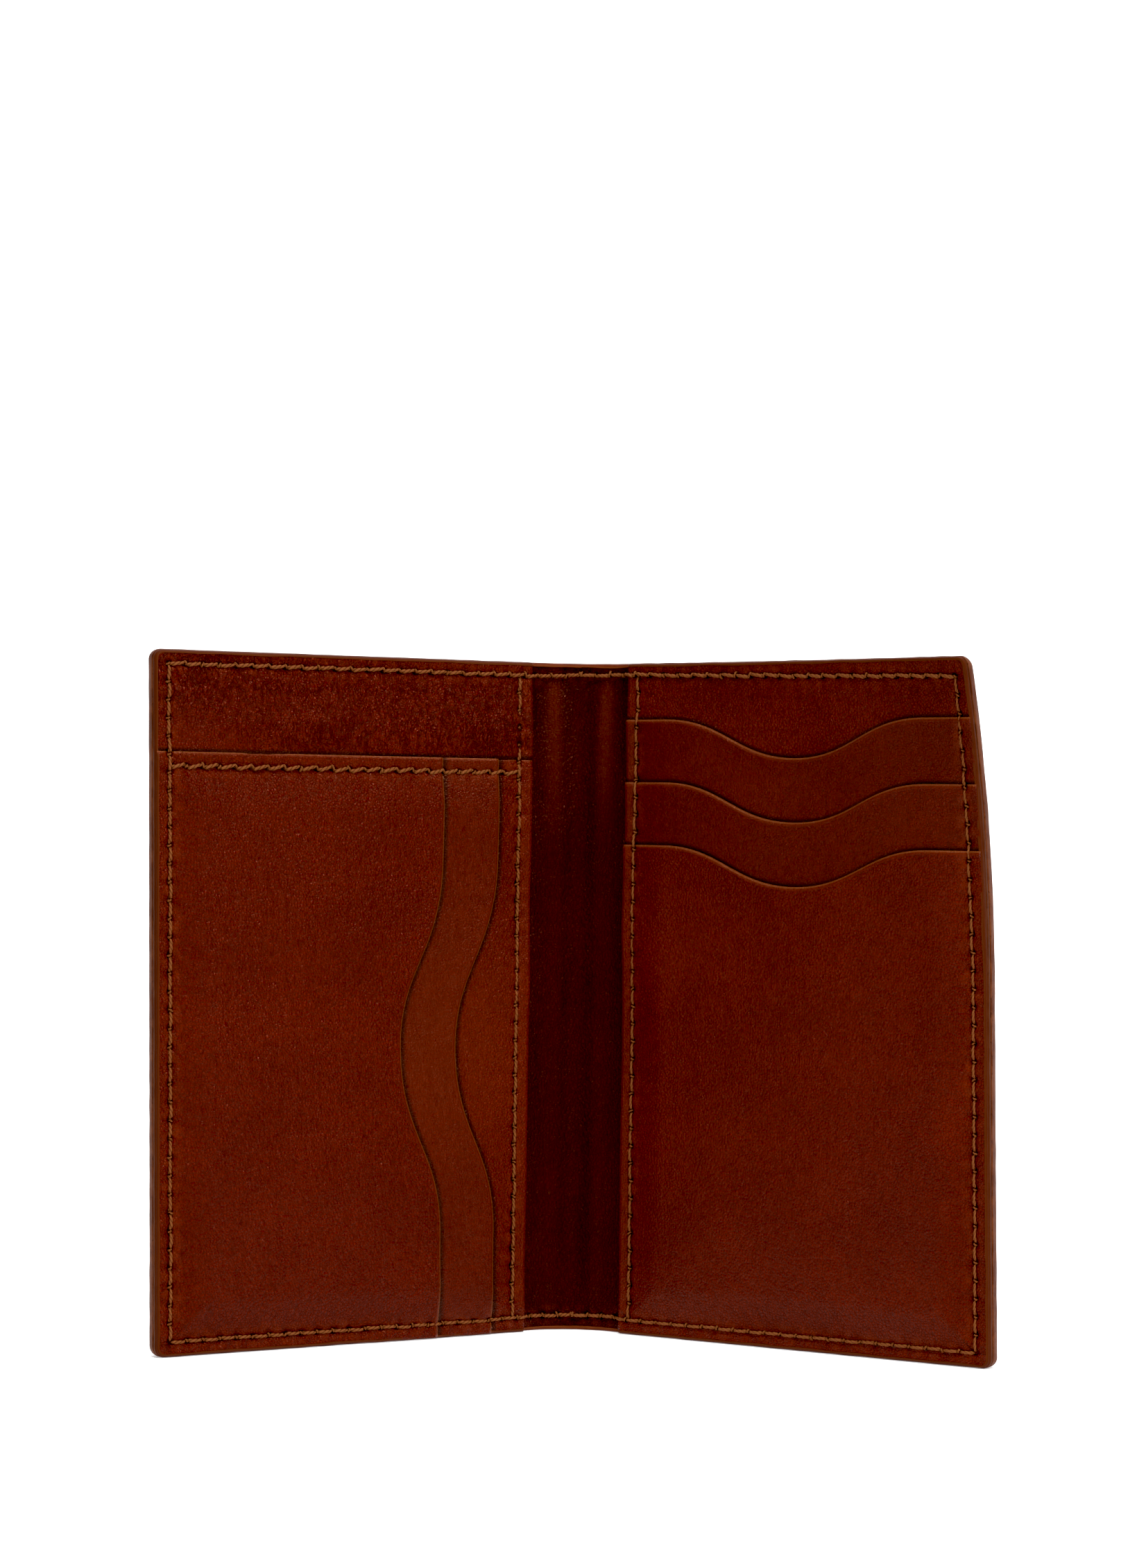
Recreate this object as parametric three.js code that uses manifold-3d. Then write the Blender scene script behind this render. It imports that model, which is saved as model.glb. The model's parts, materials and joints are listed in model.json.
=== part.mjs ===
// Bifold card wallet in leather, standing open like a book, in millimetres, +Z up.
//
// Two stitched halves hang on a curved spine. Each half is a stack of leather sheets: an outer cover,
// a lining, a back panel and its pocket sheets. The left half has two card slots that open towards the
// spine and one full-width pocket that opens upwards. The right half has three card slots that open
// upwards. Cards go in upright. Each half folds about a vertical line where it meets the spine.
//
// Every sheet is drawn flat in its half's own frame: x runs away from the fold line, y runs up, and z
// runs from the outer cover towards the inside of the wallet, with z = 0 on the fold line.

import * as THREE from "three";
import { mergeVertices } from "three/addons/utils/BufferGeometryUtils.js";
import Module from "manifold-3d";

const wasm = await Module();
wasm.setup();

// ---- Driving dimensions ----
const HEIGHT = 109;
const HALF_WIDTH = 66.5; // fold line to outer edge
const LEAN = THREE.MathUtils.degToRad(30); // each half's angle out of the flat, as it stands
const SPINE_RADIUS = 15.1; // middle of the cover's thickness, round the spine
const CORNER_RADIUS = 1.6;

// ---- Sheets ----
const COVER = 1.3;
const LINING = 0.7;
const BACK_PANEL = 0.85;
const POCKET_SHEET = 0.45;
const GLUE_GAP = 0.08; // between neighbouring sheets
const COAT = 0.3; // edge paint
const COAT_GAP = 0.05;
const FOLD_GAP = 0.5; // cover's edge to the fold line, on both sides
const LINING_FOLD_GAP = 1.0;
const PANEL_FOLD_GAP = 1.5; // back panels and pocket sheets start here

// ---- Seams ----
const SEAM_INSET = 2.4; // perimeter seam to the painted edge
const INNER_SEAM_INSET = 2.3; // upright seam to the panels' spine edge
const HEM = 2; // a hidden hem's seam to the sheet's own edge
const THREAD_RADIUS = 0.22;
const THREAD_SIDES = 6;
const THREAD_GAP = 0.05;
const GROOVE_WIDTH = 0.9; // the outside thread lies in a groove in the cover
const GROOVE_DEPTH = 0.6;

// ---- Pockets ----
const CARD_DEPTH = 76.8; // a slot's straight edge down to its floor
const RIGHT_SLOT_EDGE = 79.5; // height of the front slot's straight edge
const RIGHT_SLOT_STEP = 10.15;
const RIGHT_DIP = 6.2; // thumb cut-out
const RIGHT_DIP_HALF = 24;
const RIGHT_DIP_CENTRE = 33.5;
const LEFT_POCKET_TOP = 93.1;
const LEFT_TOP_SEAM_DROP = 2.2;
const LEFT_SLOT_EDGE = 7.85; // fold line to the middle sheet's straight edge
const LEFT_SLOT_STEP = 10;
const LEFT_DIP = 7.4;
const LEFT_DIP_HALF = 30;
const LEFT_DIP_CENTRE = 46.5;
const ARM = 14; // how far a T-shaped slot sheet's arms reach from its open edge
const STEM_CLEARANCE = 2; // a T-shaped slot sheet's stem to the seams beside it
const SIDE_SLOT_FLOOR = 60; // fold line to the hem that closes the middle sheet's slot

const LEATHER_FOOT = COAT + COAT_GAP;
const LEATHER_TOP = HEIGHT - LEATHER_FOOT;
const LEATHER_END = HALF_WIDTH - LEATHER_FOOT;
const LEATHER_CORNER = CORNER_RADIUS - LEATHER_FOOT;
const SEAM_FOOT = SEAM_INSET;
const SEAM_TOP = HEIGHT - SEAM_INSET;
const SEAM_END = HALF_WIDTH - SEAM_INSET;
const INNER_SEAM = PANEL_FOLD_GAP + INNER_SEAM_INSET;

// Where each sheet of the stack starts and ends in z.
const coverZ = -COVER / 2;
const liningZ = coverZ + COVER + GLUE_GAP;
const backZ = liningZ + LINING + GLUE_GAP;
const backTop = backZ + BACK_PANEL;
// Level 0 is the back panel, and levels 1 to 3 are the pocket sheets.
const levelTop = (n) => backTop + n * (GLUE_GAP + POCKET_SHEET);
const pocketZ = (n) => levelTop(n) - POCKET_SHEET;

const LEFT = -1;
const RIGHT = 1;

const leather = (color, roughness) => new THREE.MeshStandardMaterial({ color, roughness, metalness: 0 });
const coverLeather = leather(0x6a2410, 0.45);
const liningLeather = leather(0x4a1006, 0.5);
const panelLeather = leather(0x7a2a12, 0.45);
const edgePaint = leather(0x70402a, 0.6);
const slotLeather = leather(0x7c2e14, 0.6);
const threadFibre = leather(0x8a5026, 0.8);

const wallet = new THREE.Group();
wallet.rotation.x = Math.PI / 2; // stands the flat drawing up

function node(group, name, geometry, material) {
  const mesh = new THREE.Mesh(geometry, material);
  mesh.name = name;
  group.add(mesh);
  return mesh;
}

// A flat sheet cut to an outline, from z to z + thickness.
function sheet(outline, z, thickness, curveSegments = 10) {
  const options = { depth: thickness, bevelEnabled: false, curveSegments };
  return new THREE.ExtrudeGeometry(outline, options).translate(0, 0, z);
}

// ---- Booleans ----
function solidOf(geometry) {
  const bare = geometry.clone();
  bare.deleteAttribute("normal");
  bare.deleteAttribute("uv");
  const merged = mergeVertices(bare, 1e-4);
  return new wasm.Manifold(
    new wasm.Mesh({
      numProp: 3,
      vertProperties: merged.attributes.position.array,
      triVerts: new Uint32Array(merged.index.array),
    }),
  );
}

function geometryOf(solid) {
  const mesh = solid.getMesh();
  return new THREE.BufferGeometry()
    .setAttribute("position", new THREE.BufferAttribute(mesh.vertProperties, 3))
    .setIndex(new THREE.BufferAttribute(mesh.triVerts, 1));
}

// A block between two corners of a half's frame.
function block(side, u0, u1, v0, v1, z0, z1) {
  const box = new THREE.BoxGeometry(u1 - u0, v1 - v0, z1 - z0);
  return solidOf(box.translate((side * (u0 + u1)) / 2, (v0 + v1) / 2, (z0 + z1) / 2));
}

// ---- Outlines. u is the distance from the fold line, on either side. ----

// A half's sheet from u0 to its outer edge, between two heights, with any outer corner that lies on
// the wallet's own corner rounded.
function halfOutline(side, u0, foot = LEATHER_FOOT, top = LEATHER_TOP) {
  const outline = new THREE.Shape();
  const end = LEATHER_END;
  const r = LEATHER_CORNER;
  outline.moveTo(side * u0, foot);
  if (foot === LEATHER_FOOT) {
    outline.lineTo(side * (end - r), foot);
    outline.quadraticCurveTo(side * end, foot, side * end, foot + r);
  } else outline.lineTo(side * end, foot);
  if (top === LEATHER_TOP) {
    outline.lineTo(side * end, top - r);
    outline.quadraticCurveTo(side * end, top, side * (end - r), top);
  } else outline.lineTo(side * end, top);
  outline.lineTo(side * u0, top);
  outline.closePath();
  return outline;
}

// Continues an outline along a slot's open edge, a straight line with one smooth thumb cut-out.
// at(along, depth) turns a place on the edge into a point.
function addThumbEdge(outline, at, from, to, centre, half, dip) {
  const way = Math.sign(to - from);
  const start = centre - way * half;
  const finish = centre + way * half;
  const lead = way * half * 0.45;
  outline.lineTo(...at(start, 0));
  outline.bezierCurveTo(...at(start + lead, 0), ...at(centre - lead, dip), ...at(centre, dip));
  outline.bezierCurveTo(...at(centre + lead, dip), ...at(finish - lead, 0), ...at(finish, 0));
  outline.lineTo(...at(to, 0));
}

// A right-hand slot sheet whose open edge is at a height. Level 3 reaches the foot of the wallet. The
// others are T-shaped: the arms are caught in the side seams, and the stem hangs down to its own hem.
function upwardSlotOutline(edge, isFront) {
  const outline = new THREE.Shape();
  const at = (u, depth) => [u, edge - depth];
  if (isFront) {
    outline.moveTo(PANEL_FOLD_GAP, LEATHER_FOOT);
    outline.lineTo(LEATHER_END - LEATHER_CORNER, LEATHER_FOOT);
    outline.quadraticCurveTo(LEATHER_END, LEATHER_FOOT, LEATHER_END, LEATHER_FOOT + LEATHER_CORNER);
  } else {
    const stemFoot = edge - CARD_DEPTH - HEM;
    const stemStart = INNER_SEAM + STEM_CLEARANCE;
    const stemEnd = SEAM_END - STEM_CLEARANCE;
    outline.moveTo(PANEL_FOLD_GAP, edge - ARM);
    outline.lineTo(stemStart, edge - ARM);
    outline.lineTo(stemStart, stemFoot);
    outline.lineTo(stemEnd, stemFoot);
    outline.lineTo(stemEnd, edge - ARM);
    outline.lineTo(LEATHER_END, edge - ARM);
  }
  outline.lineTo(LEATHER_END, edge);
  addThumbEdge(outline, at, LEATHER_END, PANEL_FOLD_GAP, RIGHT_DIP_CENTRE, RIGHT_DIP_HALF, RIGHT_DIP);
  outline.closePath();
  return outline;
}

// A left-hand slot sheet whose open edge is at u = edge and faces the spine. The front sheet reaches
// the outer edge of the wallet. The middle one is T-shaped and ends in a hidden upright hem.
function sidewaysSlotOutline(edge, isFront) {
  const outline = new THREE.Shape();
  const at = (v, depth) => [-(edge + depth), v];
  outline.moveTo(-edge, LEATHER_FOOT);
  addThumbEdge(outline, at, LEATHER_FOOT, LEFT_POCKET_TOP, LEFT_DIP_CENTRE, LEFT_DIP_HALF, LEFT_DIP);
  if (isFront) {
    outline.lineTo(-LEATHER_END, LEFT_POCKET_TOP);
    outline.lineTo(-LEATHER_END, LEATHER_FOOT + LEATHER_CORNER);
    outline.quadraticCurveTo(-LEATHER_END, LEATHER_FOOT, LEATHER_CORNER - LEATHER_END, LEATHER_FOOT);
  } else {
    const stemEnd = -(SIDE_SLOT_FLOOR + HEM);
    const stemFoot = SEAM_FOOT + STEM_CLEARANCE;
    const stemTop = LEFT_POCKET_TOP - LEFT_TOP_SEAM_DROP - STEM_CLEARANCE;
    outline.lineTo(-(edge + ARM), LEFT_POCKET_TOP);
    outline.lineTo(-(edge + ARM), stemTop);
    outline.lineTo(stemEnd, stemTop);
    outline.lineTo(stemEnd, stemFoot);
    outline.lineTo(-(edge + ARM), stemFoot);
    outline.lineTo(-(edge + ARM), LEATHER_FOOT);
  }
  outline.closePath();
  return outline;
}

// A band of even width that follows a half's edge up from the fold line's foot, round both corners
// and back to its head. inset is the outer side's distance from the wallet's edge.
function bandOutline(side, u0, inset, width) {
  const run = (shape, d, forwards) => {
    const end = HALF_WIDTH - d;
    const r = Math.max(CORNER_RADIUS - d, 0.4);
    const foot = d;
    const top = HEIGHT - d;
    const [first, second] = forwards ? [foot, top] : [top, foot];
    const up = forwards ? r : -r;
    shape.lineTo(side * (end - r), first);
    shape.quadraticCurveTo(side * end, first, side * end, first + up);
    shape.lineTo(side * end, second - up);
    shape.quadraticCurveTo(side * end, second, side * (end - r), second);
    shape.lineTo(side * u0, second);
  };
  const outline = new THREE.Shape();
  outline.moveTo(side * u0, inset);
  run(outline, inset, true);
  outline.lineTo(side * u0, HEIGHT - inset - width);
  run(outline, inset + width, false);
  outline.closePath();
  return outline;
}

// A strip round the spine between two radii, drawn with the spine's own centre at the origin.
function spineOutline(innerRadius, outerRadius, gap) {
  const reach = LEAN - gap / SPINE_RADIUS;
  const low = -Math.PI / 2 - reach;
  const high = -Math.PI / 2 + reach;
  const outline = new THREE.Shape();
  outline.absarc(0, 0, outerRadius, low, high, false);
  outline.absarc(0, 0, innerRadius, high, low, true);
  outline.closePath();
  return outline;
}

// ---- Threads ----

// A path through given points, with a ring of the tube at each one.
class ThreadPath extends THREE.Curve {
  constructor(points) {
    super();
    this.points = points.map((p) => new THREE.Vector3(...p));
  }
  getPoint(t) {
    const place = t * (this.points.length - 1);
    const i = Math.min(Math.floor(place), this.points.length - 2);
    return this.points[i].clone().lerp(this.points[i + 1], place - i);
  }
  getPointAt(t) {
    return this.getPoint(t);
  }
  getTangentAt(t) {
    return this.getTangent(t);
  }
}

function thread(points) {
  const section = new THREE.Shape();
  for (let i = 0; i < THREAD_SIDES; i++) {
    const a = (i / THREAD_SIDES) * 2 * Math.PI;
    const [x, y] = [THREAD_RADIUS * Math.cos(a), THREAD_RADIUS * Math.sin(a)];
    if (i === 0) section.moveTo(x, y);
    else section.lineTo(x, y);
  }
  section.closePath();
  const extrudePath = new ThreadPath(points);
  return new THREE.ExtrudeGeometry(section, { steps: points.length - 1, extrudePath, curveSegments: 1 });
}

const onTop = (n) => levelTop(n) + THREAD_GAP + THREAD_RADIUS;
const STEP_LEAD = 0.9; // a thread climbs onto a sheet this far before the sheet's edge

// The perimeter thread on the inside of a half: along the top, down the outer edge and back along the
// foot. steps are the climbs on the way down, at a height each, and footSteps those on the way back, at
// a distance from the fold line each.
function perimeterThread(side, steps, footSteps) {
  const start = PANEL_FOLD_GAP + 0.2;
  const points = [
    [side * start, SEAM_TOP, onTop(0)],
    [side * (SEAM_END - 1), SEAM_TOP, onTop(0)],
    [side * (SEAM_END - 0.25), SEAM_TOP - 0.25, onTop(0)],
    [side * SEAM_END, SEAM_TOP - 1, onTop(0)],
  ];
  for (const { height, from, to } of steps) {
    points.push([side * SEAM_END, height + STEP_LEAD, onTop(from)]);
    points.push([side * SEAM_END, height + 0.3, onTop(to)]);
  }
  const foot = steps.at(-1).to;
  points.push(
    [side * SEAM_END, SEAM_FOOT + 1, onTop(foot)],
    [side * (SEAM_END - 0.25), SEAM_FOOT + 0.25, onTop(foot)],
    [side * (SEAM_END - 1), SEAM_FOOT, onTop(foot)],
  );
  for (const { u, from, to } of footSteps) {
    points.push([side * (u + 0.3), SEAM_FOOT, onTop(from)]);
    points.push([side * (u - STEP_LEAD), SEAM_FOOT, onTop(to)]);
  }
  points.push([side * start, SEAM_FOOT, onTop(footSteps.at(-1)?.to ?? foot)]);
  return thread(points);
}

// An upright thread beside the spine, climbing as the perimeter one does.
function uprightThread(side, steps) {
  const u = side * INNER_SEAM;
  const points = [[u, SEAM_TOP - 2 * THREAD_RADIUS - 0.3, onTop(0)]];
  for (const { height, from, to } of steps) {
    points.push([u, height + STEP_LEAD, onTop(from)]);
    points.push([u, height + 0.3, onTop(to)]);
  }
  points.push([u, SEAM_FOOT + 2 * THREAD_RADIUS + 0.3, onTop(steps.at(-1).to)]);
  return thread(points);
}

// The thread on the outside of a half, in the cover's groove.
function outsideThread(side) {
  const z = coverZ + GROOVE_DEPTH - THREAD_GAP - THREAD_RADIUS;
  const u0 = FOLD_GAP + 0.2;
  return thread([
    [side * u0, SEAM_TOP, z],
    [side * (SEAM_END - 1), SEAM_TOP, z],
    [side * (SEAM_END - 0.25), SEAM_TOP - 0.25, z],
    [side * SEAM_END, SEAM_TOP - 1, z],
    [side * SEAM_END, SEAM_FOOT + 1, z],
    [side * (SEAM_END - 0.25), SEAM_FOOT + 0.25, z],
    [side * (SEAM_END - 1), SEAM_FOOT, z],
    [side * u0, SEAM_FOOT, z],
  ]);
}

// ---- A half's cover, lining, back panel and edge paint ----

function coverOf(side) {
  const outline = halfOutline(side, FOLD_GAP);
  const groove = bandOutline(side, -1, SEAM_INSET - GROOVE_WIDTH / 2, GROOVE_WIDTH);
  const cut = solidOf(sheet(groove, coverZ - 1, 1 + GROOVE_DEPTH, 4));
  return geometryOf(solidOf(sheet(outline, coverZ, COVER)).subtract(cut));
}

// Edge paint over the whole stack. Each step is a height above which the stack ends at a level.
function edgeCoat(side, topLevel, steps) {
  const outline = bandOutline(side, LINING_FOLD_GAP, 0, COAT);
  let coat = solidOf(sheet(outline, coverZ, levelTop(topLevel) - coverZ, 6));
  for (const { height, level: n } of steps) {
    const z = levelTop(n);
    coat = coat.subtract(block(side, -5, HALF_WIDTH + 5, height, HEIGHT + 5, z, z + 20));
  }
  // The paint on the pocket sheets stops where those sheets do, just short of the spine.
  const z = liningZ + LINING;
  coat = coat.subtract(block(side, -5, PANEL_FOLD_GAP, -5, HEIGHT + 5, z, z + 20));
  return geometryOf(coat);
}

const hingeX = SPINE_RADIUS * Math.sin(LEAN);
const hingeZ = SPINE_RADIUS * (1 - Math.cos(LEAN));

function makeHalf(side) {
  const half = new THREE.Group();
  half.position.set(side * hingeX, 0, hingeZ);
  half.rotation.y = -side * LEAN;
  wallet.add(half);
  return half;
}

// ---- Left half ----
function makeLeftHalf() {
  const half = makeHalf(LEFT);
  const middleEdge = LEFT_SLOT_EDGE;
  const frontEdge = LEFT_SLOT_EDGE + LEFT_SLOT_STEP;
  node(half, "cover_left", coverOf(LEFT), coverLeather);
  node(half, "lining_left", sheet(halfOutline(LEFT, LINING_FOLD_GAP), liningZ, LINING), liningLeather);
  node(half, "left_back_panel", sheet(halfOutline(LEFT, PANEL_FOLD_GAP), backZ, BACK_PANEL), panelLeather);

  const rear = halfOutline(LEFT, PANEL_FOLD_GAP, LEATHER_FOOT, LEFT_POCKET_TOP);
  const middle = sidewaysSlotOutline(middleEdge, false);
  const front = sidewaysSlotOutline(frontEdge, true);
  node(half, "left_slot_rear", sheet(rear, pocketZ(1), POCKET_SHEET), panelLeather);
  node(half, "left_slot_middle", sheet(middle, pocketZ(2), POCKET_SHEET), slotLeather);
  node(half, "left_slot_front", sheet(front, pocketZ(3), POCKET_SHEET), panelLeather);
  node(half, "edge_coat_left", edgeCoat(LEFT, 3, [{ height: LEFT_POCKET_TOP, level: 0 }]), edgePaint);

  const steps = [{ height: LEFT_POCKET_TOP, from: 0, to: 3 }];
  const footSteps = [
    { u: frontEdge, from: 3, to: 2 },
    { u: middleEdge, from: 2, to: 1 },
  ];
  node(half, "needle_thread_left", perimeterThread(LEFT, steps, footSteps), threadFibre);
  node(half, "bobbin_thread_left", outsideThread(LEFT), threadFibre);
  const upright = uprightThread(LEFT, [{ height: LEFT_POCKET_TOP, from: 0, to: 1 }]);
  node(half, "upright_thread_left", upright, threadFibre);

  const seam = LEFT_POCKET_TOP - LEFT_TOP_SEAM_DROP;
  const pocketTop = thread([
    [-(SEAM_END - 2 * THREAD_RADIUS - 0.3), seam, onTop(3)],
    [-(frontEdge + 0.3), seam, onTop(3)],
    [-(frontEdge - STEP_LEAD), seam, onTop(2)],
    [-(middleEdge + 0.3), seam, onTop(2)],
    [-(middleEdge - STEP_LEAD), seam, onTop(1)],
    [-(INNER_SEAM + 2 * THREAD_RADIUS + 0.3), seam, onTop(1)],
  ]);
  node(half, "pocket_top_thread", pocketTop, threadFibre);
}

// ---- Right half ----
function makeRightHalf() {
  const half = makeHalf(RIGHT);
  node(half, "cover_right", coverOf(RIGHT), coverLeather);
  node(half, "lining_right", sheet(halfOutline(RIGHT, LINING_FOLD_GAP), liningZ, LINING), liningLeather);
  node(half, "right_back_panel", sheet(halfOutline(RIGHT, PANEL_FOLD_GAP), backZ, BACK_PANEL), panelLeather);

  const names = ["right_slot_top", "right_slot_middle", "right_slot_front"];
  const edges = names.map((_, i) => RIGHT_SLOT_EDGE + (2 - i) * RIGHT_SLOT_STEP);
  names.forEach((name, i) => {
    const outline = upwardSlotOutline(edges[i], i === 2);
    node(half, name, sheet(outline, pocketZ(i + 1), POCKET_SHEET), i === 2 ? panelLeather : slotLeather);
  });
  const coatSteps = edges.map((height, i) => ({ height, level: i }));
  node(half, "edge_coat_right", edgeCoat(RIGHT, 3, coatSteps), edgePaint);

  const steps = edges.map((height, i) => ({ height, from: i, to: i + 1 }));
  node(half, "needle_thread_right", perimeterThread(RIGHT, steps, []), threadFibre);
  node(half, "bobbin_thread_right", outsideThread(RIGHT), threadFibre);
  node(half, "upright_thread_right", uprightThread(RIGHT, steps), threadFibre);
}

// ---- Spine: cover, lining, edge paint and the threads that cross it ----
function makeSpine() {
  const spine = new THREE.Group();
  spine.position.z = SPINE_RADIUS;
  wallet.add(spine);

  // Turns a strip drawn in plan so that it stands between two heights.
  const strip = (outline, foot, top, segments = 12) =>
    sheet(outline, 0, top - foot, segments).rotateX(Math.PI / 2).translate(0, top, 0);
  const coverOuter = SPINE_RADIUS + COVER / 2;
  const liningOuter = SPINE_RADIUS - liningZ;
  const liningInner = liningOuter - LINING;

  const cover = spineOutline(coverOuter - COVER, coverOuter, FOLD_GAP);
  let coverSolid = solidOf(strip(cover, LEATHER_FOOT, LEATHER_TOP));
  const groove = spineOutline(coverOuter - GROOVE_DEPTH, coverOuter + 1, 0);
  for (const seam of [SEAM_FOOT, SEAM_TOP]) {
    const cut = strip(groove, seam - GROOVE_WIDTH / 2, seam + GROOVE_WIDTH / 2);
    coverSolid = coverSolid.subtract(solidOf(cut));
  }
  node(spine, "cover_spine", geometryOf(coverSolid), coverLeather);

  const lining = spineOutline(liningInner, liningOuter, LINING_FOLD_GAP);
  node(spine, "lining_spine", strip(lining, LEATHER_FOOT, LEATHER_TOP), liningLeather);

  const paint = spineOutline(liningInner, coverOuter, LINING_FOLD_GAP);
  node(spine, "edge_coat_spine_foot", strip(paint, 0, COAT), edgePaint);
  node(spine, "edge_coat_spine_top", strip(paint, HEIGHT - COAT, HEIGHT), edgePaint);

  const arcThread = (radius, height, gap) => {
    const points = [];
    const reach = LEAN - gap / SPINE_RADIUS;
    const count = 8;
    for (let i = 0; i <= count; i++) {
      const a = -reach + (2 * reach * i) / count;
      points.push([radius * Math.sin(a), height, -radius * Math.cos(a)]);
    }
    return thread(points);
  };
  const needleRadius = liningInner - THREAD_GAP - THREAD_RADIUS;
  const bobbinRadius = coverOuter - GROOVE_DEPTH + THREAD_GAP + THREAD_RADIUS;
  const ends = { foot: SEAM_FOOT, top: SEAM_TOP };
  for (const [end, height] of Object.entries(ends)) {
    node(spine, `needle_thread_spine_${end}`, arcThread(needleRadius, height, 1.8), threadFibre);
    node(spine, `bobbin_thread_spine_${end}`, arcThread(bobbinRadius, height, 0.8), threadFibre);
  }
}

makeSpine();
makeLeftHalf();
makeRightHalf();

// The origin is the middle of the footprint, on the ground.
const whole = new THREE.Group();
whole.add(wallet);
const box = new THREE.Box3().setFromObject(whole);
const middle = box.getCenter(new THREE.Vector3());
wallet.position.set(-middle.x, -middle.y, -box.min.z);

export default whole;
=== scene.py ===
"""The visual model of a leather bifold card wallet, standing open like a book.

A half of the wallet is drawn flat: u runs from its fold line to its outer edge, v runs up, and w runs
inwards from the middle of the cover's thickness, all in millimetres. place() stands that drawing up in
the row frame, in metres. Below u = 0 the drawing goes round the spine, as far as its middle line.
"""

import json
import math

import bpy
import numpy as np
from mathutils import Matrix, Vector


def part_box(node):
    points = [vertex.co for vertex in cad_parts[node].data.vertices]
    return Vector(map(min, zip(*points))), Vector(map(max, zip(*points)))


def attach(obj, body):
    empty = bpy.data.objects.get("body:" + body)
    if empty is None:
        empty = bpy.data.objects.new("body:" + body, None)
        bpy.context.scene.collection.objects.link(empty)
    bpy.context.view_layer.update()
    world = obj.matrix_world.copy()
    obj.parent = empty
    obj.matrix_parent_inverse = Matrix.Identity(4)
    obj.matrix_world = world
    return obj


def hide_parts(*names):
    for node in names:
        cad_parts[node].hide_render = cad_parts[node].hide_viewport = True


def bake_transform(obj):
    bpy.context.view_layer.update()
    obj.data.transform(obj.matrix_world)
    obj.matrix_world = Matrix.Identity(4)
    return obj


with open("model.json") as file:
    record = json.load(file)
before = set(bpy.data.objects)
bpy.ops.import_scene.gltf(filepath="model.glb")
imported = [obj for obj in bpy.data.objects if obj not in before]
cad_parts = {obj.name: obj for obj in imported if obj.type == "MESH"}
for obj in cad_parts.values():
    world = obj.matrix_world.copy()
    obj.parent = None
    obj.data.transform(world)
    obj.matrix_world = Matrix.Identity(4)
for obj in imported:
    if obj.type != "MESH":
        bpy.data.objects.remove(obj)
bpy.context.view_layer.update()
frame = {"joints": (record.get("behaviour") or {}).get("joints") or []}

MM = 0.001
LEFT = -1
RIGHT = 1
SIDE_NAME = {LEFT: "left", RIGHT: "right"}

# ---- Camera ----
camera = bpy.data.objects.new("camera", bpy.data.cameras.new("camera"))
bpy.context.scene.collection.objects.link(camera)
bpy.context.scene.camera = camera
camera.data.sensor_width = 36
camera.data.lens = 79.6
camera.data.clip_start = 0.01
camera.data.clip_end = 50
turn = Matrix.Rotation(math.radians(1.55), 4, "Z")
tilt = Matrix.Rotation(math.radians(90.62), 4, "X")
roll = Matrix.Rotation(math.radians(0.83), 4, "Z")
camera.matrix_world = Matrix.Translation((0.0143, -0.55014, 0.08312)) @ turn @ tilt @ roll

# ---- The wallet's measures ----
HINGE_X, HINGE_Y = [
    c / MM for j in frame["joints"] if j["name"] == "right_fold" for c in j["pos_m"][:2]
]
SPINE_RADIUS = 15.1
LEAN = math.asin(HINGE_X / SPINE_RADIUS)
SPINE_Y = HINGE_Y - SPINE_RADIUS * math.cos(LEAN)
SPINE_U = -SPINE_RADIUS * LEAN
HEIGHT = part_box("edge_coat_left")[1].z / MM
HALF_WIDTH = 66.5
CORNER = 1.6
COAT = 0.35  # leather's edge to the painted edge
LEATHER_END = HALF_WIDTH - COAT
LEATHER_TOP = HEIGHT - COAT
COVER_OUT = -0.65
COVER_IN = 0.65
LINING_TOP = 1.43
BACK_TOP = 2.36
LAYER_THIN = 0.27  # what a pocket sheet adds where the seams press it
LAYER_FULL = 0.53  # and where they don't
PANEL_START = 1.5
PAINT_MARGIN = 0.62

SLOT_EDGE = 79.5  # right: height of the front slot's straight edge
SLOT_STEP = 10.15
SIDE_SLOT_EDGE = 7.85  # left: fold line to the middle sheet's straight edge
SIDE_SLOT_STEP = 10
POCKET_TOP = 93.1
POCKET_SEAM_DROP = 2.2
RIGHT_DIP = dict(half=24, dip=6.2)  # the thumb cut-outs
RIGHT_DIP_CENTRE = 33.5
LEFT_DIP = dict(half=30, dip=7.4)
LEFT_DIP_CENTRE = 46.5
GLUE_GAP = 0.08

# ---- How the leather has set with use ----
TWIST = 4.96
CURL = 7.92
CURL_FROM = 60


def smooth(x, low, high):
    t = np.clip((x - low) / (high - low), 0, 1)
    return t * t * (3 - 2 * t)


def set_in_leather(side, u, v):
    """How far inwards the leather has warped."""
    out = np.clip(u, 0, None) / HALF_WIDTH
    warp = side * TWIST * (v / HEIGHT - 0.5) * out
    if side == RIGHT:
        warp = warp + CURL * (np.clip((v - CURL_FROM) / (HEIGHT - CURL_FROM), 0, 1) * out) ** 2
    return warp


def place(side, u, v, w):
    """Points of a half's flat drawing in the row frame."""
    u, v, w = np.broadcast_arrays(np.asarray(u, float), v, w)
    w = w + set_in_leather(side, u, v)
    out = np.maximum(u, 0)
    angle = LEAN + np.minimum(u, 0) / SPINE_RADIUS
    x = side * ((SPINE_RADIUS - w) * np.sin(angle) + out * math.cos(LEAN))
    y = SPINE_Y + (SPINE_RADIUS - w) * np.cos(angle) - out * math.sin(LEAN)
    return np.stack([x, y, v], -1).reshape(-1, 3) * MM


# ---- Meshes ----


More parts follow.
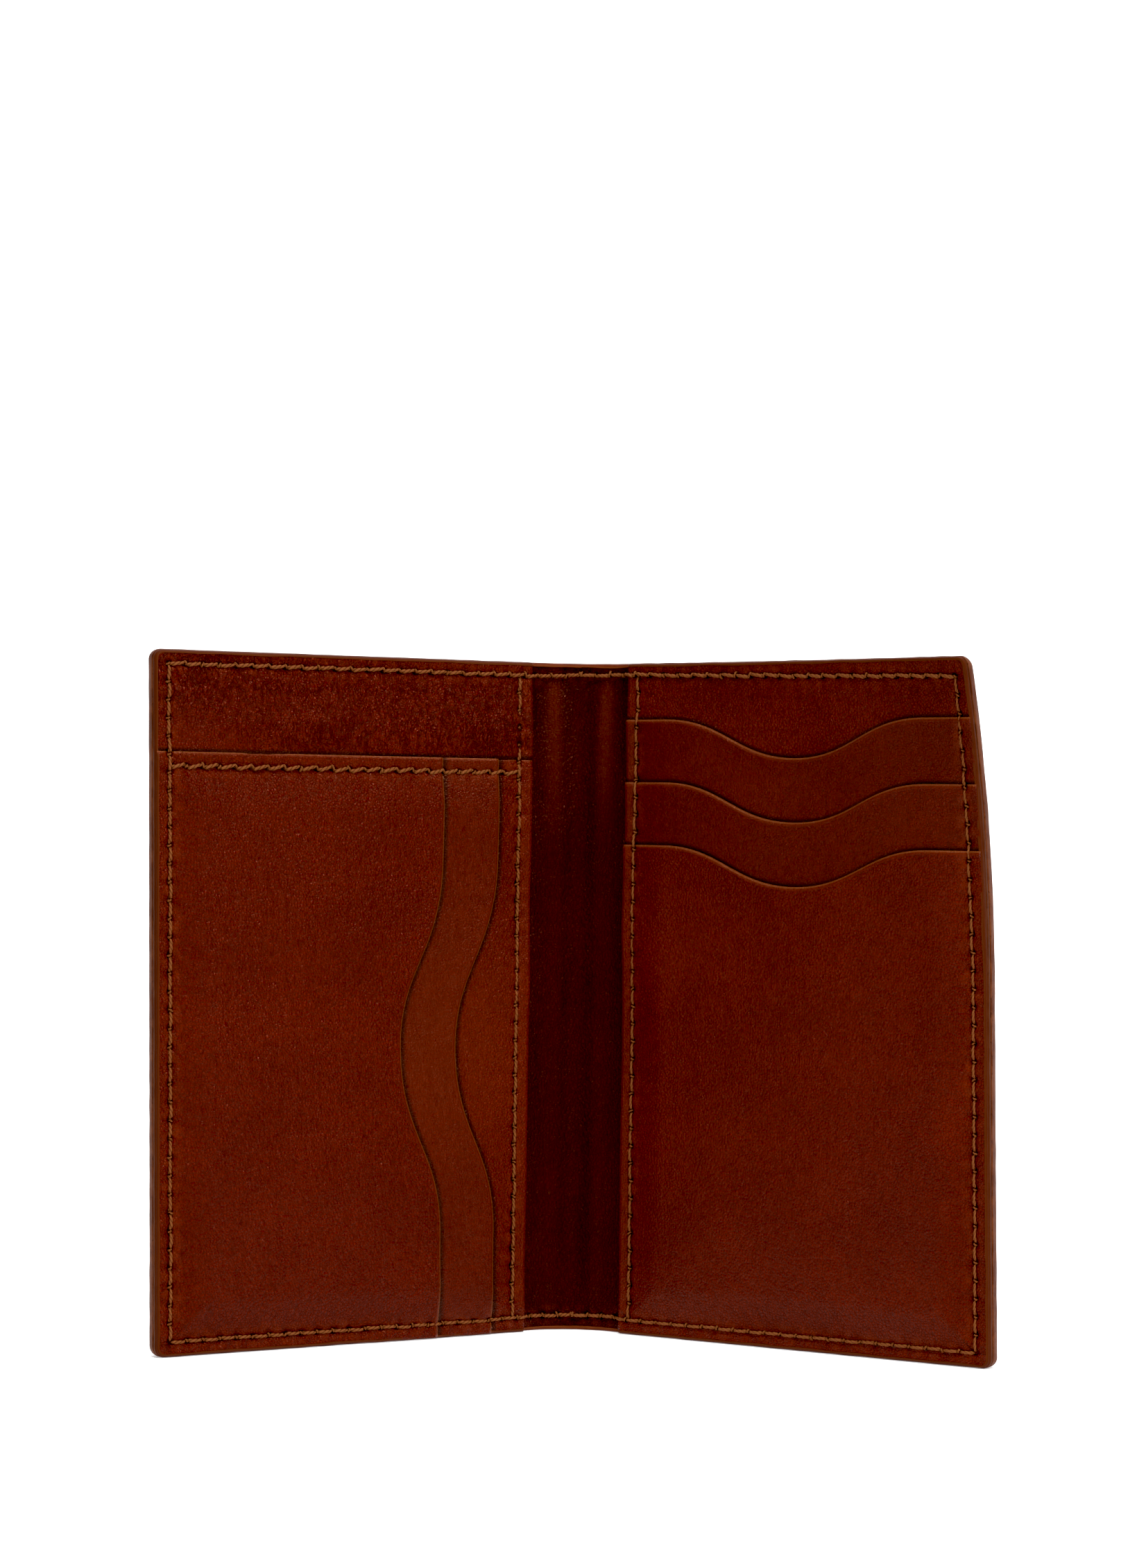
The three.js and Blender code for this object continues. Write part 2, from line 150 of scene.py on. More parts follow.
def spans(start, *steps_and_stops):
    """Grid lines from start on: each pair is a largest step and the place it leads to."""
    lines = [start]
    for step, stop in zip(steps_and_stops[::2], steps_and_stops[1::2]):
        count = max(1, math.ceil(abs(stop - lines[-1]) / step - 1e-6))
        lines += list(np.linspace(lines[-1], stop, count + 1)[1:])
    return np.array(lines)


def grid_faces(rows, columns, first=0):
    i = first + np.arange(rows * columns).reshape(rows, columns)
    return np.stack([i[:-1, :-1], i[:-1, 1:], i[1:, 1:], i[1:, :-1]], -1).reshape(-1, 4)


def ring_faces(rings, sides, first=0):
    """Faces of a tube whose rings are closed."""
    i = first + np.arange(rings * sides).reshape(rings, sides)
    j = np.roll(i, -1, 1)
    return np.stack([i[:-1], j[:-1], j[1:], i[1:]], -1).reshape(-1, 4)


def boundary(rows, columns, first):
    """The four sides of a grid, in order round it."""
    i = first + np.arange(rows * columns).reshape(rows, columns)
    return [i[0], i[:, -1], i[-1, ::-1], i[::-1, 0]]


def zip_faces(a, a_at, b, b_at):
    """Triangles between two lines of vertices, matched by how far along each vertex is."""
    faces = []
    i = j = 0
    while i < len(a) - 1 or j < len(b) - 1:
        if j == len(b) - 1 or (i < len(a) - 1 and a_at[i + 1] <= b_at[j + 1]):
            faces.append((a[i], b[j], a[i + 1]))
            i += 1
        else:
            faces.append((a[i], b[j], b[j + 1]))
            j += 1
    return faces


def mesh_piece(name, points, faces, material, **fields):
    """A smooth-shaded mesh whose faces look outwards. Each field has three numbers for every vertex."""
    faces = [tuple(map(int, f)) for f in faces]
    fans = np.array([(f[0], f[k], f[k + 1]) for f in faces for k in range(1, len(f) - 1)])
    a, b, c = (points[fans[:, k]] for k in range(3))
    if np.einsum("ij,ij->", a, np.cross(b, c)) < 0:
        faces = [f[::-1] for f in faces]
    mesh = bpy.data.meshes.new(name)
    mesh.from_pydata(points.tolist(), [], faces)
    mesh.polygons.foreach_set("use_smooth", [True] * len(faces))
    mesh.set_sharp_from_angle(angle=math.radians(40))
    for field, values in fields.items():
        attribute = mesh.attributes.new(field, "FLOAT_VECTOR", "POINT")
        attribute.data.foreach_set("vector", np.asarray(values, np.float32).ravel())
    mesh.materials.append(material)
    piece = bpy.data.objects.new(name, mesh)
    bpy.context.scene.collection.objects.link(piece)
    return piece


def along(points):
    """How far along a line of points each one is, from 0 to 1."""
    steps = np.linalg.norm(np.diff(points, axis=0), axis=1)
    way = np.concatenate([[0], np.cumsum(steps)])
    return way / way[-1]


def sheet(name, side, seen, seen_w, hidden, hidden_w, material, fields):
    """A closed sheet of leather between a finely drawn side that shows and a coarse one that doesn't.
    Both are flat grids (u, v) with a height w at each point. fields(u, v) gives the shader's fields."""
    shape, back_shape = seen[0].shape, hidden[0].shape
    flat = np.concatenate([np.stack(g, -1).reshape(-1, 2) for g in (seen, hidden)])
    u, v = flat.T
    points = np.concatenate([place(side, *seen, seen_w), place(side, *hidden, hidden_w)])
    first = seen[0].size
    faces = [*grid_faces(*shape), *grid_faces(*back_shape, first)[:, ::-1]]
    for a, b in zip(boundary(*shape, 0), boundary(*back_shape, first)):
        faces += zip_faces(a, along(flat[a]), b, along(flat[b]))
    return mesh_piece(name, points, faces, material, **fields(u, v))


# ---- Outline, seams and slot edges on the flat drawing ----


def rim(u, v):
    """Distance in from the painted edge."""
    from_end = HALF_WIDTH - u
    from_ends = np.minimum(v, HEIGHT - v)
    a = np.maximum(CORNER - from_end, 0)
    b = np.maximum(CORNER - from_ends, 0)
    return np.where((a > 0) & (b > 0), CORNER - np.hypot(a, b), np.minimum(from_end, from_ends))


def round_corners(u, v):
    """Draws a grid's square outer corners in to the wallet's round ones."""
    u, v = np.broadcast_arrays(np.asarray(u, float), np.asarray(v, float))
    foot = v < HEIGHT / 2
    corner_v = np.where(foot, CORNER, HEIGHT - CORNER)
    corner_u = HALF_WIDTH - CORNER
    a = np.maximum(u - corner_u, 0)
    b = np.maximum(np.where(foot, corner_v - v, v - corner_v), 0)
    pull = np.where((a > 0) & (b > 0), np.maximum(a, b) / np.maximum(np.hypot(a, b), 1e-9), 1)
    inside = (a > 0) & (b > 0)
    return (
        np.where(inside, corner_u + a * pull, u),
        np.where(inside, corner_v + np.where(foot, -b, b) * pull, v),
    )


def thumb_depth(x, half, dip):
    """Depth of a thumb cut-out at a distance from its middle."""
    t = np.linspace(0, 1, 200)
    lead = half * 0.45
    at = -half * (1 - t) ** 3 + 3 * (lead - half) * (1 - t) ** 2 * t - 3 * lead * (1 - t) * t**2
    depth = dip * (3 * (1 - t) * t**2 + t**3)
    return np.interp(-np.abs(x), at, depth)


def slot_edge(n, u):
    """Right half: height of a slot sheet's open edge; 1 is the top sheet and 3 the front one."""
    straight = SLOT_EDGE + (3 - n) * SLOT_STEP
    return straight - thumb_depth(u - RIGHT_DIP_CENTRE, **RIGHT_DIP)


def side_slot_edge(n, v):
    """Left half: distance of a slot sheet's open edge from the fold line; 2 is the middle sheet."""
    straight = SIDE_SLOT_EDGE + (n - 2) * SIDE_SLOT_STEP
    return straight + thumb_depth(v - LEFT_DIP_CENTRE, **LEFT_DIP)


SEAM_END = HALF_WIDTH - 2.4
SEAM_FOOT = 2.4
INNER_SEAM = {LEFT: 3.9, RIGHT: 3.5}


def top_seam(side, u):
    """Height of the seam along the top."""
    out = np.clip(u, 0, None) / SEAM_END
    if side == RIGHT:
        return HEIGHT - (1.85 + 1.15 * out)
    return HEIGHT - (1.85 + 0.35 * smooth(u, SPINE_U, 0))


def seam_lines(side):
    """Each seam's two ends and how many stitches it holds."""
    top = {u: float(top_seam(side, u)) for u in (SPINE_U, 0.0, INNER_SEAM[side], SEAM_END)}
    lines = {
        "spine_top": ((SPINE_U, top[SPINE_U]), (0.0, top[0.0]), 3),
        "top": ((0.0, top[0.0]), (SEAM_END, top[SEAM_END]), 23),
        "outer": ((SEAM_END, top[SEAM_END]), (SEAM_END, SEAM_FOOT), 37),
        "foot": ((0.0, SEAM_FOOT), (SEAM_END, SEAM_FOOT), 23),
        "spine_foot": ((SPINE_U, SEAM_FOOT), (0.0, SEAM_FOOT), 3),
        "upright": ((INNER_SEAM[side], top[INNER_SEAM[side]]), (INNER_SEAM[side], SEAM_FOOT), 37),
    }
    if side == LEFT:
        seam = POCKET_TOP - POCKET_SEAM_DROP
        lines["pocket"] = ((INNER_SEAM[side], seam), (SEAM_END, seam), 22)
    return lines


def seam_field(side, u, v, names):
    """The nearest seam: place along it in stitches, with a hole at each whole number, and distance."""
    best = np.full(u.shape, 99.0)
    place_along = np.zeros(u.shape)
    for name, (start, end, count) in seam_lines(side).items():
        if name not in names:
            continue
        run = np.subtract(end, start)
        length = np.hypot(*run)
        t = ((u - start[0]) * run[0] + (v - start[1]) * run[1]) / length
        d = ((u - start[0]) * run[1] - (v - start[1]) * run[0]) / length
        beyond = np.maximum(np.maximum(-t, t - length), 0)
        distance = np.hypot(d, beyond)
        near = distance < np.abs(best)
        best = np.where(near, np.copysign(distance, d), best)
        place_along = np.where(near, t / length * count, place_along)
    return place_along, best


PERIMETER = ("spine_top", "top", "outer", "foot", "spine_foot")
INSIDE_SEAMS = (*PERIMETER, "upright", "pocket")


# ---- Heights on the flat drawing ----


def swell(u, v, size, seed):
    """A smooth random field of about unit height, whose bumps are about size across."""
    random = np.random.default_rng(100 + seed)
    total = 0
    for _ in range(7):
        way = random.uniform(0, 2 * math.pi)
        rate = 2 * math.pi / (size * random.uniform(1.4, 3))
        total = total + np.sin(rate * (u * math.cos(way) + v * math.sin(way)) + random.uniform(0, 6.3))
    return total / 2.6


def off_middle(u):
    """0 on the spine's middle line, where the two sides' pieces meet, and 1 well away from it."""
    return smooth(u - SPINE_U, 0, 5)


def round_over(d, top):
    """How far a face drops near the painted edge, where the whole stack is rounded."""
    half = (top - COVER_OUT) / 2
    x = 1 - np.clip(d / PAINT_MARGIN, 0, 1)
    return half * (1 - np.clip(1 - x**2.6, 0, 1) ** (1 / 2.6))


def pressed(side, u, v):
    """0 at a pocket's seams and 1 well inside them."""
    inside = np.minimum(np.minimum(u - INNER_SEAM[side], SEAM_END - u), v - SEAM_FOOT)
    if side == LEFT:
        inside = np.minimum(inside, POCKET_TOP - POCKET_SEAM_DROP - v)
    return smooth(inside, -0.5, 6.5)


def stack_top(side, n, u, v):
    """Height of the stack up to a level, before seams and edges: 0 is the back panel, -1 the lining."""
    if n < 0:
        return LINING_TOP + 0 * u
    thin = LAYER_THIN
    if n == 3:
        lower = smooth(v, 66, 58) if side == RIGHT else smooth(u, 26, 34)
        thin = LAYER_THIN * (1 - 0.45 * lower)
    return BACK_TOP + n * (thin + (LAYER_FULL - thin) * pressed(side, u, v))


def seam_press(side, u, v, names, depth=0.13):
    """The channel that a seam presses, with a pucker at each hole."""
    at, d = seam_field(side, u, v, names)
    hole = np.exp(-((2.8 * (at - np.round(at)) / 0.5) ** 2))
    pucker = 0.085 * np.cos(2 * math.pi * at) * np.exp(-np.abs(d) / 1.8)
    return np.exp(-((d / 0.55) ** 2)) * (depth + 0.3 * hole) + 0.1 * np.exp(-((d / 1.6) ** 2)) + pucker


def fall_back(side, u, v):
    """The back panel swells below the top seam and falls back to it."""
    swollen = 0.5 if side == LEFT else 0.3
    uneven = 1 + 0.35 * swell(u, 0 * v, 11, 80 + side)
    return swollen * uneven * np.exp(-(((v - 97.5) / 5) ** 2)) * smooth(rim(u, v), 1, 4)


def inside_height(side, n, u, v):
    """Height of a level's face on the inside, with everything that shapes it."""
    top = stack_top(side, n, u, v)
    soft = smooth(rim(u, v), 1, 5) * off_middle(u)
    if n == 0:
        top = top + fall_back(side, u, v)
    wave = 0.16 * swell(u, v, 13, side) + 0.04 * swell(u, v, 6, 50 + 10 * n + side)
    names = INSIDE_SEAMS if n > 0 else tuple(s for s in INSIDE_SEAMS if s != "pocket")
    if n < 0:
        names = PERIMETER
    return top + soft * wave - seam_press(side, u, v, names) - round_over(rim(u, v), top)


def level_at(side, u, v):
    """The level that shows at a point on the inside."""
    u, v = np.broadcast_arrays(np.asarray(u, float), np.asarray(v, float))
    if side == RIGHT:
        level = sum((v < slot_edge(n, u)).astype(int) for n in (1, 2, 3))
    else:
        level = 1 + sum((u > side_slot_edge(n, v)).astype(int) for n in (2, 3))
        level = np.where(v < POCKET_TOP, level, 0)
    return np.where(u < PANEL_START, -1, level)


def shown_height(side, u, v):
    level = level_at(side, u, v)
    heights = [stack_top(side, n, u, v) for n in range(-1, 4)]
    return np.choose(level + 1, heights) - round_over(rim(u, v), BACK_TOP)


# ---- Materials ----


class Shader:
    """A material's node tree, built a call at a time."""

    def __init__(self, name, **surface):
        self.material = bpy.data.materials.new(name)
        self.material.use_nodes = True
        self.tree = self.material.node_tree
        self.surface = self.tree.nodes["Principled BSDF"]
        for socket, value in surface.items():
            self.surface.inputs[socket.replace("_", " ")].default_value = value

    def node(self, kind, output=0, settings=None, **inputs):
        made = self.tree.nodes.new("ShaderNode" + kind)
        for key, value in (settings or {}).items():
            setattr(made, key, value)
        for key, value in inputs.items():
            numbered = key[0] == "i" and key[1:].isdigit()
            socket = made.inputs[int(key[1:]) if numbered else key.replace("_", " ")]
            self.feed(socket, value)
        return made.outputs[output]

    def feed(self, socket, value):
        if isinstance(value, bpy.types.NodeSocket):
            self.tree.links.new(value, socket)
        else:
            socket.default_value = value

    def math(self, operation, *values, clamp=False):
        made = self.tree.nodes.new("ShaderNodeMath")
        made.operation = operation
        made.use_clamp = clamp
        for socket, value in zip(made.inputs, values):
            self.feed(socket, value)
        return made.outputs[0]

    def field(self, name):
        return self.node("Attribute", "Vector", {"attribute_name": name})

    def parts(self, vector):
        made = self.tree.nodes.new("ShaderNodeSeparateXYZ")
        self.feed(made.inputs[0], vector)
        return made.outputs

    def stretch(self, vector, x, y, z=1.0):
        return self.node("VectorMath", 0, {"operation": "MULTIPLY"}, i0=vector, i1=(x, y, z))

    def noise(self, vector, scale, detail=2.0, roughness=0.5, distortion=0.0):
        made = self.node(
            "TexNoise", "Fac", None, Vector=vector, Scale=scale, Detail=detail,
            Roughness=roughness, Distortion=distortion,
        )
        return made

    def ramp(self, value, low, high, start=0.0, stop=1.0):
        return self.node(
            "MapRange", 0, {"interpolation_type": "SMOOTHSTEP"},
            i0=value, i1=low, i2=high, i3=start, i4=stop,
        )

    def mix(self, factor, a, b):
        made = self.tree.nodes.new("ShaderNodeMix")
        made.data_type = "RGBA"
        for socket, value in ((made.inputs[0], factor), (made.inputs[6], a), (made.inputs[7], b)):
            self.feed(socket, value)
        return made.outputs[2]

    def bump(self, height, distance, strength=1.0, normal=None):
        extra = {} if normal is None else {"Normal": normal}
        return self.node("Bump", 0, None, Strength=strength, Distance=distance, Height=height, **extra)

    def finish(self, colour, roughness, normal):
        for socket, value in (("Base Color", colour), ("Roughness", roughness), ("Normal", normal)):
            self.feed(self.surface.inputs[socket], value)
        return self.material


def rgb(r, g, b):
    return (r, g, b, 1.0)


WARM = rgb(1.0, 0.38, 0.22)  # what dyed leather gives back
LIP_BAND = rgb(0.085, 0.0110, 0.0024)
# painted highlight: a bright line along the very edge of each sheet's open lip
LIP_HIGHLIGHT = rgb(0.150, 0.0420, 0.0130)
SHADE_LINE = rgb(0.008, 0.0006, 0.0002)
# darker along the channel that a seam presses into the leather
CHANNEL_DARK = rgb(0.03, 0.003, 0.0006)
# painted shade in the stitch holes
HOLE_SHADE = rgb(0.008, 0.001, 0.0003)


def leather(name, dark, light, worn_and_sheen, grain, relief, gloss, specular):
    """Pebbled leather with seams, burnished edges, and lighter places from use and painted sheen, read from
    its fields, with painted highlights and painted shade in the grain, folds and stitch holes.
    """
    s = Shader(name, Specular_IOR_Level=specular, Specular_Tint=WARM)
    flat = s.field("flat")
    warped = s.node(
        "VectorMath", 0, {"operation": "ADD"},
        i0=flat,
        i1=s.stretch(s.node("TexNoise", "Color", None, Vector=flat, Scale=0.8, Detail=2.0), 0.5, 0.5, 0.0),
    )
    cells = {"Vector": warped, "Scale": grain, "Randomness": 0.95}
    dome = s.node("TexVoronoi", "Distance", {"feature": "F1"}, **cells)
    between = s.node("TexVoronoi", "Distance", {"feature": "DISTANCE_TO_EDGE"}, **cells)
    cell = s.node("TexVoronoi", "Color", {"feature": "F1"}, **cells)
    cell = s.parts(cell)[0]
    fine = s.noise(flat, 9.0, 3.0, 0.6)
    patches = s.noise(flat, 0.07, 3.0, 0.55)
    mottle = s.noise(flat, 0.6, 3.0, 0.6)
    crease = s.ramp(s.math("MULTIPLY_ADD", fine, 0.12, between), 0.2, 0.07)
    height = s.math("MULTIPLY_ADD", dome, -0.8, s.math("MULTIPLY", crease, -0.3))
    height = s.math("MULTIPLY_ADD", fine, 0.1, height)

    seam = s.parts(s.field("seam"))
    stitch = s.math("SUBTRACT", seam[0], s.math("ROUND", seam[0]))
    across = s.math("ABSOLUTE", seam[1])
    from_hole = s.math("SQRT", s.math("ADD", s.math("POWER", s.math("MULTIPLY", stitch, 2.6), 2.0),
                                      s.math("POWER", s.math("MULTIPLY", seam[1], 1.25), 2.0)))
    hole = s.ramp(from_hole, 0.75, 0.3)
    channel = s.ramp(across, 0.5, 0.2)
    near_seam = s.ramp(across, 2.4, 0.5)

    wear_and_sheen = s.parts(s.field("wear_and_sheen"))
    rubbed_and_sheen = s.math("MAXIMUM", wear_and_sheen[0], s.math("MULTIPLY", near_seam, s.ramp(mottle, 0.38, 0.7)), clamp=True)
    lip = wear_and_sheen[1]

    shade = s.math("ADD", s.math("MULTIPLY", patches, 0.55), s.math("MULTIPLY", mottle, 0.45))
    colour = s.mix(s.ramp(shade, 0.36, 0.66), dark, light)
    # painted highlight on the pebbles' tops, stronger on some cells than others
    pebble_highlight = s.math("MULTIPLY", s.ramp(dome, 0.4, 0.08), s.ramp(cell, 0.25, 0.9, 0.15, 0.75))
    colour = s.mix(pebble_highlight, colour, rgb(light[0] * 1.4, light[1] * 2.0, light[2] * 2.0))
    # painted shade in the grain's creases
    crease_shade = rgb(dark[0] * 0.4, dark[1] * 0.3, dark[2] * 0.3)
    colour = s.mix(s.math("MULTIPLY", crease, 0.75), colour, crease_shade)
    # lighter from use, and painted sheen where the field marks it: the lining's rolls and around the left
    # thumb cut-out
    colour = s.mix(s.math("MULTIPLY", rubbed_and_sheen, 0.6), colour, worn_and_sheen)
    fold = s.noise(s.stretch(flat, 1.0, 0.55), 0.85, 4.0, 0.55, 1.2)
    fold = s.ramp(s.math("ABSOLUTE", s.math("SUBTRACT", fold, 0.5)), 0.0, 0.06)
    folded = s.math("MULTIPLY", s.math("SUBTRACT", 1.0, fold), s.math("MULTIPLY", wear_and_sheen[2], 0.75))
    # painted shade along the fold lines where the leather is creased
    colour = s.mix(folded, colour, crease_shade)
    colour = s.mix(s.math("MULTIPLY", s.ramp(lip, 0.8, 0.4), 0.5), colour, LIP_BAND)
    # painted highlight along the very edge of a sheet's open lip and the pocket's top
    colour = s.mix(s.math("MULTIPLY", s.ramp(lip, 0.34, 0.2), 0.7), colour, LIP_HIGHLIGHT)
    # painted shade: a dark line on a sheet just above the edge of the sheet lying on it
    colour = s.mix(s.math("MULTIPLY", s.ramp(seam[2], 0.8, 0.25), 0.95), colour, SHADE_LINE)
    # darker along the channel that a seam presses into the leather
    colour = s.mix(s.math("MULTIPLY", channel, 0.35), colour, CHANNEL_DARK)
    # painted shade in the stitch holes
    colour = s.mix(hole, colour, HOLE_SHADE)

    rough = s.math("ADD", s.math("MULTIPLY", mottle, 0.18), s.math("MULTIPLY", fine, 0.12))
    rough = s.math("ADD", rough, gloss - 0.2)
    rough = s.math("MULTIPLY_ADD", cell, 0.14, rough)
    rough = s.math("MULTIPLY_ADD", wear_and_sheen[2], -0.05, rough)
    smoothed = s.ramp(lip, 0.8, 0.55)
    relief_here = s.math("MULTIPLY", s.math("SUBTRACT", 1.0, s.math("MULTIPLY", smoothed, 0.7)), height)
    normal = s.bump(relief_here, relief, 1.0)
    normal = s.bump(s.math("MULTIPLY", fold, wear_and_sheen[2]), 0.00022, 0.9, normal)
    normal = s.bump(s.math("MULTIPLY", hole, -1.0), 0.0002, 0.8, normal)
    return s.finish(colour, rough, normal)


def thread_material():
    s = Shader("waxed_thread", Specular_IOR_Level=0.12, Specular_Tint=WARM)
    fibre = s.field("fibre")
    parts = s.parts(fibre)
    strands = s.noise(s.stretch(fibre, 2.5, 14.0, 3.0), 3.0, 3.0, 0.6)
    colour = s.mix(s.ramp(strands, 0.3, 0.7), rgb(0.105, 0.028, 0.008), rgb(0.26, 0.092, 0.032))
    # painted shade in the grooves between the thread's two plies
    colour = s.mix(s.math("MULTIPLY", s.ramp(parts[2], 0.35, 0.0), 0.8), colour, rgb(0.022, 0.004, 0.001))
    normal = s.bump(strands, 0.00004, 0.8)
    return s.finish(colour, s.ramp(strands, 0.2, 0.8, 0.75, 0.55), normal)


def paint_material():
    """Matt edge paint with a painted highlight on its lip, painted shade in its groove and on the inner bead,
    scuffs and small blemishes.
    """
    s = Shader("edge_paint", Specular_IOR_Level=0.14, Specular_Tint=rgb(1.0, 0.5, 0.28))
    flat = s.field("flat")
    parts = s.parts(s.field("coat"))
    mottle = s.noise(flat, 0.5, 4.0, 0.6)
    fine = s.noise(flat, 5.0, 3.0, 0.6)
    spots = s.noise(flat, 1.6, 2.0, 0.5, 0.6)
    colour = s.mix(s.ramp(mottle, 0.35, 0.65), rgb(0.070, 0.0150, 0.0045), rgb(0.118, 0.0320, 0.0110))
    colour = s.mix(s.math("MULTIPLY", s.ramp(spots, 0.62, 0.7), 0.7), colour, rgb(0.035, 0.006, 0.002))
    colour = s.mix(s.math("MULTIPLY", s.ramp(parts[0], 0.45, 0.8), 0.75), colour, rgb(0.088, 0.0110, 0.0020))
    # painted highlight along the paint's inner lip
    colour = s.mix(s.math("MULTIPLY", s.ramp(parts[0], 0.965, 0.995), 0.5), colour, rgb(0.150, 0.045, 0.015))
    # painted shade in the groove between the layers
    colour = s.mix(s.math("MULTIPLY", s.ramp(parts[1], 0.15, 0.8), 0.9), colour, rgb(0.012, 0.002, 0.0006))
    # painted shade on the inner bead
    colour = s.mix(s.math("MULTIPLY", parts[2], 0.6), colour, rgb(0.040, 0.0080, 0.0022))
    normal = s.bump(s.math("ADD", fine, s.math("MULTIPLY", mottle, 2.0)), 0.00005, 0.7)
    return s.finish(colour, s.ramp(fine, 0.2, 0.8, 0.62, 0.48), normal)


PANEL = leather(
    "panel_leather", rgb(0.062, 0.0022, 0.0002), rgb(0.088, 0.0044, 0.0006), rgb(0.118, 0.0140, 0.0024),
    grain=2.4, relief=0.00013, gloss=0.29, specular=0.28,
)
SLOT = leather(
    "slot_leather", rgb(0.056, 0.0020, 0.0002), rgb(0.080, 0.0044, 0.0006), rgb(0.112, 0.0130, 0.0022),
    grain=2.8, relief=0.00008, gloss=0.32, specular=0.31,
)
COVER = leather(
    "cover_leather", rgb(0.062, 0.0026, 0.0003), rgb(0.088, 0.0052, 0.0008), rgb(0.118, 0.0150, 0.0028),
    grain=2.1, relief=0.00013, gloss=0.31, specular=0.3,
)
# The lining is drawn far darker than the panels: partly its own darker tone, partly painted shade of the
# gutter between the panels. Its third colour is a painted sheen on the rolls beside the spine's crease.
LINING = leather(
    "lining_leather", rgb(0.015, 0.0002, 0.0001), rgb(0.026, 0.0004, 0.0001), rgb(0.085, 0.0100, 0.0030),
    grain=2.0, relief=0.00016, gloss=0.27, specular=0.2,
)
THREAD = thread_material()
PAINT = paint_material()


# ---- Sheets of leather ----


LINING_LEVEL = 5  # only these two sheets go round the spine, so their grain runs on across it
COVER_LEVEL = 6


def fields_of(side, level, names, lip, worn_and_sheen=None, creased=None):
    """The fields that a sheet's shader reads. lip(u, v) is the distance from the sheet's own free edge. The
    third number of seam is from_upper(), which says where the painted shade line falls."""

    def fields(u, v):
        at, d = seam_field(side, u, v, names)
        zero = np.zeros_like(u)
        rubbed_and_sheen = zero if worn_and_sheen is None else worn_and_sheen(u, v)
        folds = zero + 0.12 if creased is None else creased(u, v)
        edge = np.full_like(u, 9) if lip is None else lip(u, v)
        own_grain = 11.0 * level + (3 * side if level < LINING_LEVEL else 0)
        return {
            "flat": np.stack([side * (u - SPINE_U), v, zero + own_grain], -1),
            "seam": np.stack([at, d, zero + from_upper(side, level, u, v)], -1),
            "wear_and_sheen": np.stack([rubbed_and_sheen, edge, folds], -1),
        }

    return fields


FINE = 0.42  # the grid step where nothing needs a finer one
ACROSS = spans(
    PANEL_START, 0.08, 1.7, 0.2, 2.1, 0.3, 3.0, 0.22, 4.6, FINE, 63.0, 0.22, 65.2, 0.3, LEATHER_END
)
COARSE_ACROSS = spans(PANEL_START, 3, LEATHER_END)


# scales that distance beside the left slots, so the painted shade line there reaches further out
LEFT_SHADE_REACH = 0.6


def from_upper(side, n, u, v):
    """Distance from the edge of the next sheet up, less than 0 under it. Beside the left slots it counts for
    less than it is, because the painted shade line there reaches further out."""
    if n > 2:
        return 9 + 0 * u
    if side == RIGHT:
        return v - slot_edge(n + 1, u)
    return LEFT_SHADE_REACH * (side_slot_edge(n + 1, v) - u) if n else v - POCKET_TOP


def covered(side, n, u, v):
    """How far a sheet gives way under the next one up."""
    return 0.3 * smooth(-from_upper(side, n, u, v), -0.05, 0.6)


def inner_strip(u, v):
    """Where the panels beside the spine are lighter from use."""
    return 0.55 * smooth(u, 3.4, 1.9)


def inner_edge_drop(u):
    """The rolled edge of the panels beside the spine."""
    return 0.28 * (1 - smooth(u - PANEL_START, -0.12, 0.5))


def lip_drop(e):
    """A slot sheet's bevelled open edge, which stands a little off the sheet behind it."""
    return 0.4 * (1 - smooth(e, -0.2, 0.6)) - 0.36 * np.exp(-np.maximum(e, 0) / 4)


def back_panel(side):
    low = 72.0 if side == RIGHT else 86.0
    up = spans(COAT, 6, low, FINE, 105.0, 0.22, 107.6, 0.3, LEATHER_TOP)
    u, v = np.meshgrid(ACROSS, up)
    grid = round_corners(u, v)
    w = inside_height(side, 0, *grid) - inner_edge_drop(u) - covered(side, 0, u, v)
    hidden = round_corners(*np.meshgrid(COARSE_ACROSS, spans(COAT, 4, LEATHER_TOP)))
    hidden_w = LINING_TOP + GLUE_GAP + 0 * hidden[0]
    name = SIDE_NAME[side]

    def creased(a, b):
        patch = 0.5 + 0.5 * np.clip(swell(a, b, 16, 60 + side), -1, 1)
        under_seam = np.exp(-np.abs(b - 103.5) / 2.5)
        strength = 0.9 if side == LEFT else 0.25
        return strength * np.maximum(patch, under_seam) * smooth(b, 90, 96)

    names = ("spine_top", "top", "outer", "upright")
    piece = sheet(
        name + "_back_panel_leather", side, grid, w, hidden, hidden_w, PANEL,
        fields_of(side, 0, names, None, inner_strip, creased),
    )
    finish_piece(piece, [name + "_half"], "panel_leather", name + "_back_panel")


def finish_piece(piece, bodies, slot, *nodes):
    """Attaches a piece to its body when there is one, and otherwise bakes its transform where it stands;
    hides the CAD nodes it stands for. The finish's name, slot, is not used.
    """
    if len(bodies) == 1:
        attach(piece, bodies[0])
    else:
        side = RIGHT if "right_half" in bodies else LEFT
        ends = [(side * (HINGE_X + 3) * MM, 0, 0), (side * (HINGE_X - 4.5) * MM, 0, 0)]
        if bodies[0] == "spine":
            ends.reverse()
        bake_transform(piece)
    if nodes:
        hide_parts(*nodes)


def across_fold(side):
    """The two bodies on either side of the fold, for a piece that goes across it."""
    return [SIDE_NAME[side] + "_half", "spine"]


